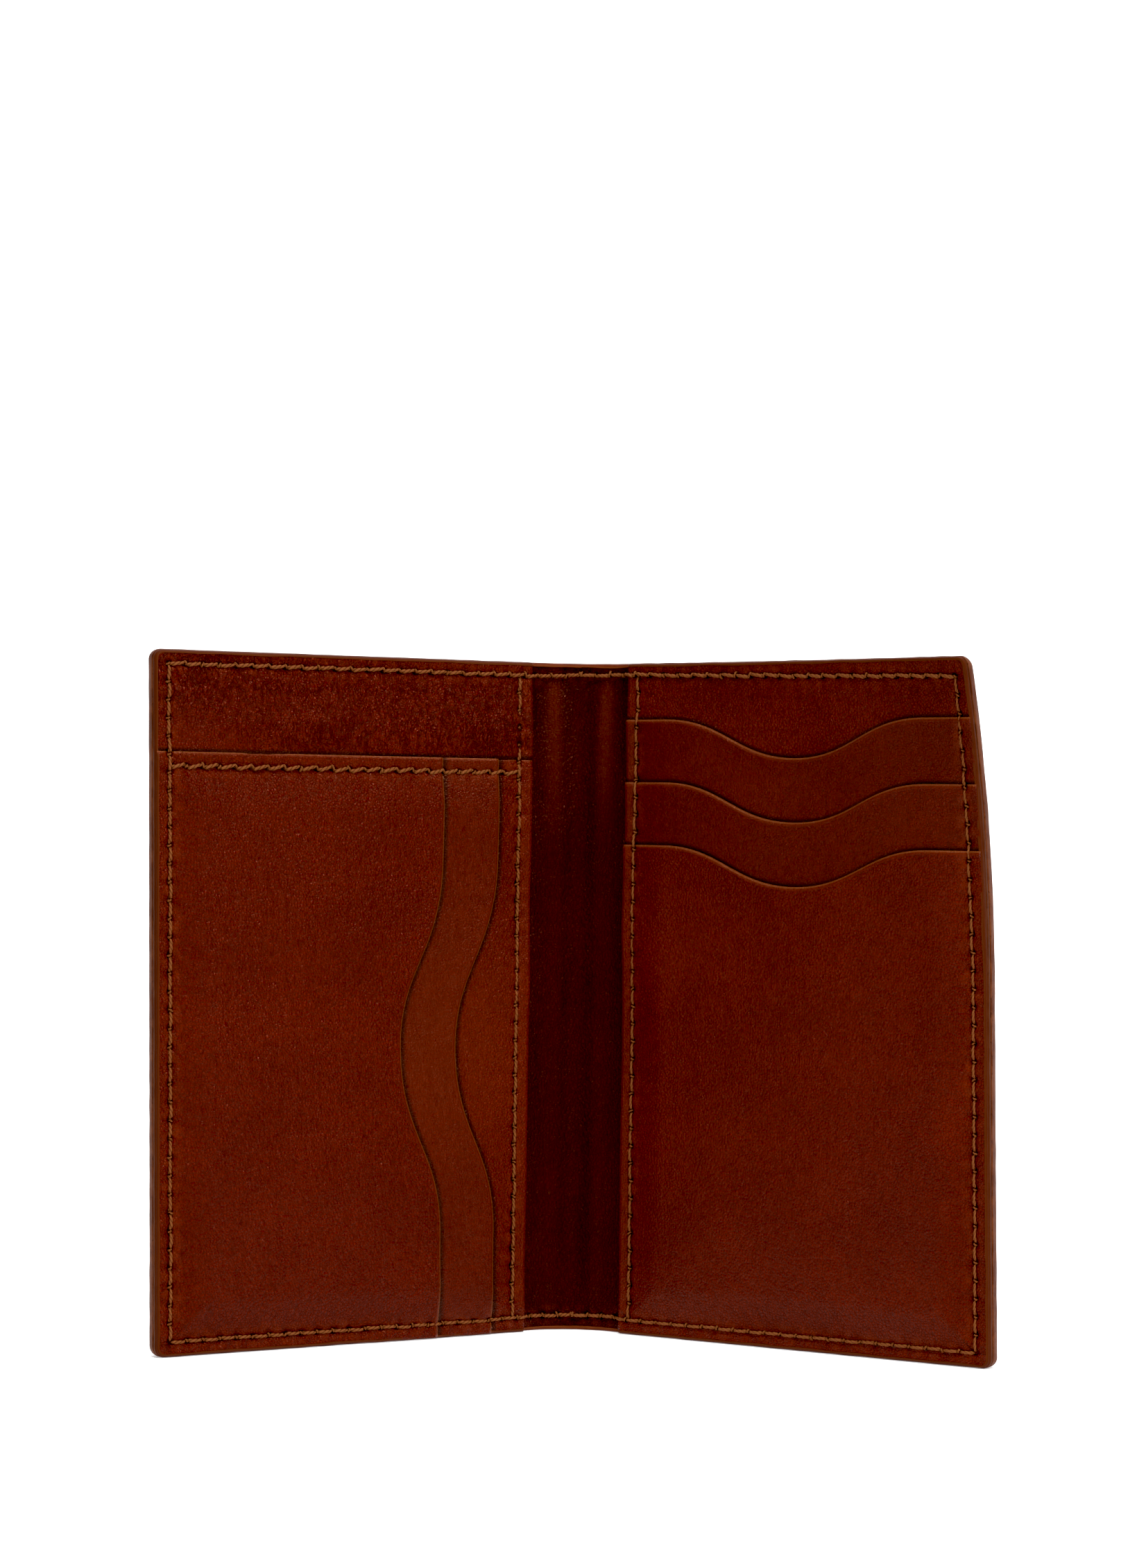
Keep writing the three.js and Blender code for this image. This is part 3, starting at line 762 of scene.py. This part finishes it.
def slot_sheet_right(n):
    """A right-hand slot sheet, open at the top."""
    foot = COAT if n == 3 else SLOT_EDGE + (3 - n) * SLOT_STEP - 20
    top = SLOT_EDGE + (3 - n) * SLOT_STEP
    below = spans(0, 0.06, 0.12, 0.13, 0.9, 0.3, 1.5, FINE, 17 if n < 3 else top - 4.4)
    if n == 3:
        below = np.concatenate([below, top - spans(4.4, 0.22, 1.2, 0.3, COAT)[1:]])
    else:
        below = np.append(below, top - foot)
    share = below / (top - foot)
    u, s = np.meshgrid(ACROSS, share)
    edge = slot_edge(n, u)
    e = s * (edge - foot)
    grid = round_corners(u, edge - e)
    w = inside_height(RIGHT, n, *grid) - lip_drop(e) - inner_edge_drop(u) - covered(RIGHT, n, *grid)
    coarse_u, coarse_s = np.meshgrid(spans(PANEL_START, 1.5, LEATHER_END), spans(0, 0.1, 1))
    coarse_edge = slot_edge(n, coarse_u)
    hidden = round_corners(coarse_u, coarse_edge - coarse_s * (coarse_edge - foot))
    hidden_w = inside_height(RIGHT, n, *hidden) - 0.44 + 0.1 * np.exp(-coarse_s * 5)
    names = ["right_slot_top", "right_slot_middle", "right_slot_front"]
    seams = ("outer", "upright", "foot") if n == 3 else ("outer", "upright")
    piece = sheet(
        names[n - 1] + "_leather", RIGHT, grid, w, hidden, hidden_w, PANEL if n == 3 else SLOT,
        fields_of(RIGHT, n, seams, lambda a, b: slot_edge(n, a) - b, inner_strip),
    )
    finish_piece(piece, ["right_half"], "panel_leather" if n == 3 else "slot_leather", names[n - 1])


def pocket_rise():
    """Grid lines up the left pocket sheets."""
    return spans(COAT, 0.3, 1.3, 0.22, 3.4, FINE, 89.6, 0.22, 92.0, 0.13, 92.9, 0.06, POCKET_TOP)


def slot_sheet_left(n):
    """A left-hand pocket sheet: 1 is the rear one, and 2 and 3 open towards the spine."""
    v_lines = pocket_rise()
    if n == 1:
        out = spans(0, 0.08, 0.2, 0.2, 0.6, 0.3, 1.5, 0.22, 3.1, FINE, 15, 3, 24)
        end = PANEL_START + 24
    elif n == 2:
        out = spans(0, 0.06, 0.12, 0.13, 0.9, 0.3, 1.5, FINE, 19, 3, 28)
        end = SIDE_SLOT_EDGE + 28
    else:
        start = SIDE_SLOT_EDGE + SIDE_SLOT_STEP
        out = spans(
            0, 0.06, 0.12, 0.13, 0.9, 0.3, 1.5, FINE, 62.6 - start, 0.22, 65 - start, 0.3, LEATHER_END - start
        )
        end = LEATHER_END
    share = out / out[-1]

    def edge_at(v):
        return PANEL_START + 0 * v if n == 1 else side_slot_edge(n, v)

    def grid_of(shares, heights):
        s, v = np.meshgrid(shares, heights)
        edge = edge_at(v)
        u = edge + s * (end - edge)
        return u, v, (round_corners(u, v) if n == 3 else (u, v))

    u, v, grid = grid_of(share, v_lines)
    e = u - edge_at(v)
    w = inside_height(LEFT, n, *grid)
    w = w - (inner_edge_drop(u) if n == 1 else lip_drop(e))
    w = w - 0.22 * (1 - smooth(POCKET_TOP - v, -0.15, 0.55)) - covered(LEFT, n, *grid)
    _, _, hidden = grid_of(spans(0, 0.08, 1), spans(COAT, 1.5, POCKET_TOP))
    hidden_w = inside_height(LEFT, n, *hidden) - 0.46
    names = ["left_slot_rear", "left_slot_middle", "left_slot_front"]
    seams = {1: ("foot", "upright", "pocket"), 2: ("foot", "pocket"), 3: ("foot", "outer", "pocket")}[n]

    def lip(a, b):
        side_lip = a - edge_at(b) + 0.06 if n > 1 else 9 + 0 * a
        return np.minimum(side_lip, np.maximum(POCKET_TOP - b, 0) * 1.6)

    def worn_and_sheen(a, b):
        # lighter from use along the pocket's top
        strip = 0.3 * smooth(POCKET_TOP - b, 2.6, 1.4)
        if n < 3:
            # painted sheen around the thumb cut-out on the rear and middle sheets
            strip = np.maximum(strip, 0.55 * np.exp(-(((b - LEFT_DIP_CENTRE) / 20) ** 2)))
        return np.maximum(strip, inner_strip(a, b) if n == 1 else 0)

    piece = sheet(
        names[n - 1] + "_leather", LEFT, grid, w, hidden, hidden_w, SLOT if n == 2 else PANEL,
        fields_of(LEFT, n, seams, lip, worn_and_sheen),
    )
    finish_piece(piece, ["left_half"], "slot_leather" if n == 2 else "panel_leather", names[n - 1])


def lining(side):
    """The lining, which shows only between the panels, where it swells on both sides of a crease."""
    lines = np.concatenate([spans(SPINE_U, 0.3, 2.4, 1, 6), spans(6, 6, LEATHER_END)[1:]])
    u, v = np.meshgrid(lines, spans(COAT, 0.3, 1.2, 0.22, 3.6, 0.5, 105.4, 0.22, 108, 0.3, LEATHER_TOP))
    grid = round_corners(u, v)
    from_middle = u - SPINE_U
    roll_out = np.exp(-(((from_middle - 3.6) / 1.7) ** 2)) * smooth(rim(u, v), 2, 8)
    w = inside_height(side, -1, *grid) + 0.55 * roll_out - 0.5 * np.exp(-((from_middle / 1.9) ** 2))
    w = np.where(u > 1.2, np.minimum(w, LINING_TOP), w) - np.where(u > 2.4, 0.02, 0)
    w = w + 0.03 * swell(u, v * 0.4, 3.5, 71 + side) * smooth(-u, -1.5, 1) * off_middle(u)
    w = w - 0.45 * smooth(v, 88, 106) * smooth(-u, -1.5, 0.5)
    hidden = round_corners(*np.meshgrid(spans(SPINE_U, 2, LEATHER_END), spans(COAT, 4, LEATHER_TOP)))
    nodes = ["lining_" + SIDE_NAME[side], "lining_spine"]

    def rolled(a, b):
        # painted sheen on the roll beside the crease, stronger towards the top
        on_roll = np.exp(-(((a - SPINE_U - 4.8) / 1.3) ** 2))
        return on_roll * (0.08 + 0.9 * smooth(b, 76, 104))

    piece = sheet(
        nodes[0] + "_leather", side, grid, w, hidden, COVER_IN + GLUE_GAP + 0 * hidden[0], LINING,
        fields_of(side, LINING_LEVEL, PERIMETER, None, rolled),
    )
    finish_piece(piece, across_fold(side), "lining_leather", *nodes)


def cover(side):
    """The outer cover, seen from behind."""
    lines = spans(SPINE_U, 0.5, 62.9, 0.22, 65.2, 0.3, LEATHER_END)
    u, v = np.meshgrid(lines, spans(COAT, 0.3, 1.2, 0.22, 3.6, 0.5, 105.4, 0.22, 108, 0.3, LEATHER_TOP))
    grid = round_corners(u, v)
    wave = 0.09 * swell(*grid, 16, 90 + side) * smooth(rim(*grid), 1, 6) * off_middle(u)
    w = COVER_OUT + seam_press(side, *grid, PERIMETER) + round_over(rim(*grid), BACK_TOP) + wave
    hidden = round_corners(*np.meshgrid(spans(SPINE_U, 2, LEATHER_END), spans(COAT, 4, LEATHER_TOP)))
    nodes = ["cover_" + SIDE_NAME[side], "cover_spine"]
    piece = sheet(
        nodes[0] + "_leather", side, grid, w, hidden, COVER_IN + 0 * hidden[0], COVER,
        fields_of(side, COVER_LEVEL, PERIMETER, None),
    )
    finish_piece(piece, across_fold(side), "cover_leather", *nodes)


# ---- Edge paint ----


def rim_path(step):
    """Points on a half's painted edge from the spine along the foot, up and back, with the way inwards."""
    corner = math.pi / 2 * CORNER
    runs = [
        (spans(SPINE_U, step, 0.2, 0.15, 2.2, step, HALF_WIDTH - CORNER), None, 0.0, (0, 1)),
        (spans(0, corner / 9, corner), (HALF_WIDTH - CORNER, CORNER), -math.pi / 2, None),
        (spans(CORNER, step, HEIGHT - CORNER), HALF_WIDTH, None, (-1, 0)),
        (spans(0, corner / 9, corner), (HALF_WIDTH - CORNER, HEIGHT - CORNER), 0.0, None),
        (spans(HALF_WIDTH - CORNER, step, 2.2, 0.15, 0.2, step, SPINE_U), None, HEIGHT, (0, -1)),
    ]
    out = []
    for values, where, offset, inwards in runs:
        if inwards is None:
            angle = offset + values / CORNER
            ring = np.stack([np.cos(angle), np.sin(angle)], -1)
            points = np.array(where) + CORNER * ring
            normals = -ring
        else:
            upright = where is not None
            fixed = np.full_like(values, where if upright else offset)
            points = np.stack([fixed, values] if upright else [values, fixed], -1)
            normals = np.tile(inwards, (len(values), 1))
        out.append(np.concatenate([points, normals], -1)[1 if out else 0 :])
    return np.concatenate(out)


def edge_top(side, u, v):
    """Height of the stack where the paint meets its inner face."""
    inner_u = np.minimum(u, HALF_WIDTH - 1)
    top = BACK_TOP + 0 * u
    if side == RIGHT:
        for n in (1, 2, 3):
            edge = slot_edge(n, inner_u)
            top = top + smooth(v, edge + 0.3, edge - 0.7) * (
                stack_top(side, n, inner_u, v) - stack_top(side, n - 1, inner_u, v)
            )
    else:
        present = [1 + 0 * u, *(smooth(u, *(side_slot_edge(n, v) + s for s in (-0.7, 0.3))) for n in (2, 3))]
        below = smooth(v, POCKET_TOP + 0.2, POCKET_TOP - 0.6)
        for n in (1, 2, 3):
            rise = stack_top(side, n, inner_u, v) - stack_top(side, n - 1, inner_u, v)
            top = top + below * present[n - 1] * rise
    on_panel = smooth(u, PANEL_START - 0.5, PANEL_START + 0.2)
    return LINING_TOP + (top - LINING_TOP) * on_panel


def edge_coat(side):
    """Paint over the whole stack's edge: rounded, with a groove where the panels lie on the lining."""
    path = rim_path(0.5)
    u, v, nu, nv = path.T
    top = edge_top(side, u, v)[:, None]
    turn_at = np.linspace(-1, 1, 45)[None, :]
    x = np.sin(turn_at * math.pi / 2)
    margin = PAINT_MARGIN + 0.05 * swell(u + v, v - u, 5, 33 + side)[:, None]
    d = margin * (1 - np.clip(1 - np.abs(x) ** 2.6, 0, 1) ** (1 / 2.6))
    middle, half = (top + COVER_OUT) / 2, (top - COVER_OUT) / 2
    lift = 0.035
    w = middle + (half + lift) * x
    on_panel = smooth(u, PANEL_START - 0.4, PANEL_START + 0.2)[:, None]
    crack = 0.75 + 0.25 * swell((u + v)[:, None], (v - u)[:, None], 9, 37 + side)
    groove = 0.42 * crack * on_panel * np.exp(-(((w - LINING_TOP - 0.1) / 0.13) ** 2))
    layered = smooth(top - BACK_TOP, 0.05, 0.3)
    groove = groove + 0.14 * layered * np.exp(-(((w - BACK_TOP - 0.02) / 0.12) ** 2))
    rough = 0.02 * swell((u + v)[:, None], 4 * w + 0 * u[:, None], 2.2, 35 + side)
    d = d - 0.02 + groove + rough * (1 - np.abs(x) ** 6)
    d = np.concatenate([d, np.broadcast_to(margin * 1.1, (len(u), 2))], 1)
    w = np.concatenate([w, top - 0.15, 0 * top + COVER_OUT + 0.15], 1)
    flat_u = u[:, None] + nu[:, None] * d
    flat_v = v[:, None] + nv[:, None] * d
    points = place(side, flat_u, flat_v, w)
    rings, sides = d.shape
    first_cap = tuple(range(sides))
    last_cap = tuple(range(rings * sides - 1, (rings - 1) * sides - 1, -1))
    faces = [*ring_faces(rings, sides), first_cap, last_cap]
    in_groove = np.concatenate([groove / 0.45, np.zeros((len(u), 2))], 1)
    edge_share = np.concatenate([np.broadcast_to(x, groove.shape), np.zeros((len(u), 2))], 1)
    run = np.concatenate([[0], np.cumsum(np.hypot(*np.diff(path[:, :2], axis=0).T))])
    name = SIDE_NAME[side]
    around = np.cumsum(np.concatenate([[0], np.abs(np.diff(np.append(x[0], [1.2, 1.4])))])) * 2
    piece = mesh_piece(
        "edge_paint_" + name, points, faces, PAINT,
        flat=np.stack(np.broadcast_arrays(run[:, None], around[None, :], 40.0 + side), -1),
        coat=np.stack([edge_share, in_groove, smooth(w, LINING_TOP + 0.05, LINING_TOP + 0.4)], -1),
    )
    finish_piece(
        piece, across_fold(side), "edge_paint",
        "edge_coat_" + name, "edge_coat_spine_foot", "edge_coat_spine_top",
    )


# ---- Stitches ----


def stitches(
    line, height, outwards, radius, lift, sink, seed, slant=0.0, spur=0.0, rings=13, sides=12
):
    """Tubes of two-ply thread, each from one hole to the next, as arrays of flat points and fields. With a
    spur of some length, each hole also has the end of the other thread across it."""
    start, end, count = line
    start, end = np.array(start), np.array(end)
    run = (end - start) / np.hypot(*(end - start))
    normal = np.array([-run[1], run[0]])
    random = np.random.default_rng(100 + seed)
    pitch = np.hypot(*(end - start)) / count
    t = np.linspace(0, 1, rings)[None, :]
    k = np.arange(count)[:, None]
    wander = random.normal(0, 0.05, (count, 1))
    skew = slant * (t - 0.5) * pitch
    where = start + run * ((k + 0.1 + 0.8 * t)[..., None] * pitch) + normal * (skew + wander)[..., None]
    if spur:
        reach = spur * random.uniform(0.7, 1.3, (count, 1))
        tilt_at = random.uniform(0.5, 1.1, (count, 1)) * np.where(random.random((count, 1)) < 0.8, 1, -1)
        across = (t - 0.35) * reach * np.sin(tilt_at) * 1.6
        onwards = (k + 0.02) * pitch + (t - 0.5) * reach * np.cos(tilt_at)
        where = np.concatenate([where, start + run * onwards[..., None] + normal * across[..., None]])
        count = 2 * count
        k = np.arange(count)[:, None]
    surface = height(where[..., 0], where[..., 1])
    ends = surface[:, :1] * (1 - t) + surface[:, -1:] * t
    surface = 0.5 * ends + 0.5 * np.maximum(surface, ends)
    arch = (1 - np.abs(2 * t - 1) ** 2.6) ** (1 / 1.7)
    rise = -sink + (sink + lift * random.uniform(0.85, 1.15, (count, 1))) * arch
    size = np.where(spur and k >= count // 2, 0.62, 1.0)[..., None]
    way = -1.0 if outwards else 1.0
    centre = np.concatenate([where, (surface + way * rise)[..., None]], -1)
    tangent = np.gradient(centre, axis=1)
    tangent /= np.linalg.norm(tangent, axis=-1, keepdims=True)
    first = np.broadcast_to(np.array([*normal, 0.0]), tangent.shape)
    first = first - tangent * np.sum(first * tangent, -1, keepdims=True)
    first /= np.linalg.norm(first, axis=-1, keepdims=True)
    second = np.cross(tangent, first)
    angle = np.linspace(0, 2 * math.pi, sides, endpoint=False)[None, None, :]
    twist = 2 * math.pi * 1.35 * t[..., None] * np.ones_like(k)[..., None]
    twist = twist + random.uniform(0, 6.3, (count, 1, 1))
    ply = np.cos(2 * (angle - twist))
    taper = (0.8 + 0.25 * t) * np.where(np.abs(2 * t - 1) > 0.99, 0.6, 1.0)
    thick = radius * size * (1 + 0.2 * ply) * taper[..., None]
    ring = first[..., None, :] * np.cos(angle)[..., None] + second[..., None, :] * np.sin(angle)[..., None]
    points = centre[..., None, :] + ring * thick[..., None]
    shape = points.shape[:-1]
    own = random.uniform(0, 30, (count, 1, 1))
    fibre = np.stack(
        np.broadcast_arrays(t[..., None] * pitch + own, np.cos(angle - twist), 0.5 + 0.5 * ply), -1
    )
    return points.reshape(-1, 3), fibre.reshape(-1, 3), shape


def stitch_row(name, side, rows, bodies, nodes):
    """One piece of thread from several runs of stitches."""
    all_points, all_fields, faces = [], [], []
    first = 0
    for points, fibre, (count, rings, sides) in rows:
        tube = ring_faces(rings, sides)
        for k in range(count):
            base = first + k * rings * sides
            faces += [*(tube + base)]
            faces.append(tuple(range(base, base + sides)))
            last = base + (rings - 1) * sides
            faces.append(tuple(range(last + sides - 1, last - 1, -1)))
        all_points.append(place(side, *points.T))
        all_fields.append(fibre)
        first += len(points)
    piece = mesh_piece(name, np.concatenate(all_points), faces, THREAD, fibre=np.concatenate(all_fields))
    finish_piece(piece, bodies, "thread", *nodes)


def inside_surface(side):
    return lambda u, v: shown_height(side, u, v) - 0.1


def outside_surface(u, v):
    return COVER_OUT + 0.1 + 0 * u


def threads(side):
    name = SIDE_NAME[side]
    lines = seam_lines(side)
    inside = inside_surface(side)
    rope = dict(radius=0.28, lift=0.22, sink=0.24, spur=0.5)
    sunk = dict(radius=0.25, lift=0.13, sink=0.36, spur=0.38)
    upright = dict(sunk, radius=0.21) if side == RIGHT else sunk
    styles = {"outer": upright, "upright": upright, "foot": sunk, "top": dict(rope, slant=-0.1)}
    rows = [
        stitches(lines[seam], inside, False, seed=i + side, **styles.get(seam, rope))
        for i, seam in enumerate(PERIMETER)
    ]
    spine_nodes = ["_spine_foot", "_spine_top"]
    needle = ["needle_thread_" + name, *("needle_thread" + n for n in spine_nodes)]
    stitch_row("needle_stitches_" + name, side, rows, across_fold(side), needle)
    outside = dict(radius=0.24, lift=0.1, sink=0.25)
    rows = [
        stitches(lines[seam], outside_surface, True, seed=20 + i + side, **outside)
        for i, seam in enumerate(PERIMETER)
    ]
    bobbin = ["bobbin_thread_" + name, *("bobbin_thread" + n for n in spine_nodes)]
    stitch_row("bobbin_stitches_" + name, side, rows, across_fold(side), bobbin)
    rows = [stitches(lines["upright"], inside, False, seed=40 + side, **upright)]
    stitch_row("upright_stitches_" + name, side, rows, [name + "_half"], ["upright_thread_" + name])
    if side == LEFT:
        rows = [stitches(lines["pocket"], inside, False, seed=50, slant=-0.22, **rope)]
        stitch_row("pocket_top_stitches", side, rows, ["left_half"], ["pocket_top_thread"])


for side in (LEFT, RIGHT):
    cover(side)
    lining(side)
    back_panel(side)
    edge_coat(side)
    threads(side)
for level in (1, 2, 3):
    slot_sheet_left(level)
    slot_sheet_right(level)

# ---- Floor, backdrop and light ----


def backdrop():
    """A pale floor that curves up into a backdrop."""
    s = Shader("pale_sweep", Specular_IOR_Level=0.0)
    s.surface.inputs["Emission Color"].default_value = (1, 1, 1, 1)
    place_on = s.node("TexCoord", "Object")
    s.feed(s.surface.inputs["Emission Strength"], s.ramp(s.parts(place_on)[1], -0.25, 0.3, 0.05, 0.95))
    grain = s.noise(place_on, 3.0)
    s.finish(s.mix(grain, rgb(0.86, 0.86, 0.86), rgb(0.9, 0.9, 0.9)), 0.8, s.bump(grain, 0.0001, 0.2))
    bend, far = 0.8, 1.6
    angles = np.linspace(0, math.pi / 2, 24)
    profile = [(-3.0, 0.0), *zip(far + bend * np.sin(angles), bend * (1 - np.cos(angles))), (far + bend, 4.0)]
    points = np.array([(x, y, z) for y, z in profile for x in (-4.0, 4.0)])
    mesh = bpy.data.meshes.new("sweep")
    mesh.from_pydata(points.tolist(), [], grid_faces(len(profile), 2).tolist())
    mesh.polygons.foreach_set("use_smooth", [True] * len(mesh.polygons))
    mesh.materials.append(s.material)
    sweep = bpy.data.objects.new("sweep", mesh)
    bpy.context.scene.collection.objects.link(sweep)


def lamp(name, place_at, towards, size, watts):
    light = bpy.data.lights.new(name, "AREA")
    light.shape = "RECTANGLE"
    light.size, light.size_y = size
    light.energy = watts
    made = bpy.data.objects.new(name, light)
    made.location = place_at
    made.rotation_euler = (Vector(towards) - Vector(place_at)).to_track_quat("-Z", "Y").to_euler()
    bpy.context.scene.collection.objects.link(made)


backdrop()
lamp("above_front", (0.12, -0.50, 0.95), (0, 0, 0.05), (0.4, 0.3), 10)
lamp("front_right", (0.9, -0.66, 0.72), (0, 0, 0.06), (0.22, 0.22), 7)
lamp("front_left", (-1.0, -0.75, 0.6), (0, 0, 0.06), (0.22, 0.22), 3)
lamp("overhead", (0, 0.45, 1.3), (0, 0.1, 0), (1.2, 1.0), 9)

world = bpy.data.worlds.new("studio")
bpy.context.scene.world = world
world.use_nodes = True
world.node_tree.nodes["Background"].inputs["Color"].default_value = (1, 1, 1, 1)
world.node_tree.nodes["Background"].inputs["Strength"].default_value = 0.06
grading = bpy.context.scene.view_settings
grading.view_transform = "Standard"
grading.use_curve_mapping = True
grading.curve_mapping.black_level = (0.005, 0.008, 0.008)
grading.curve_mapping.update()
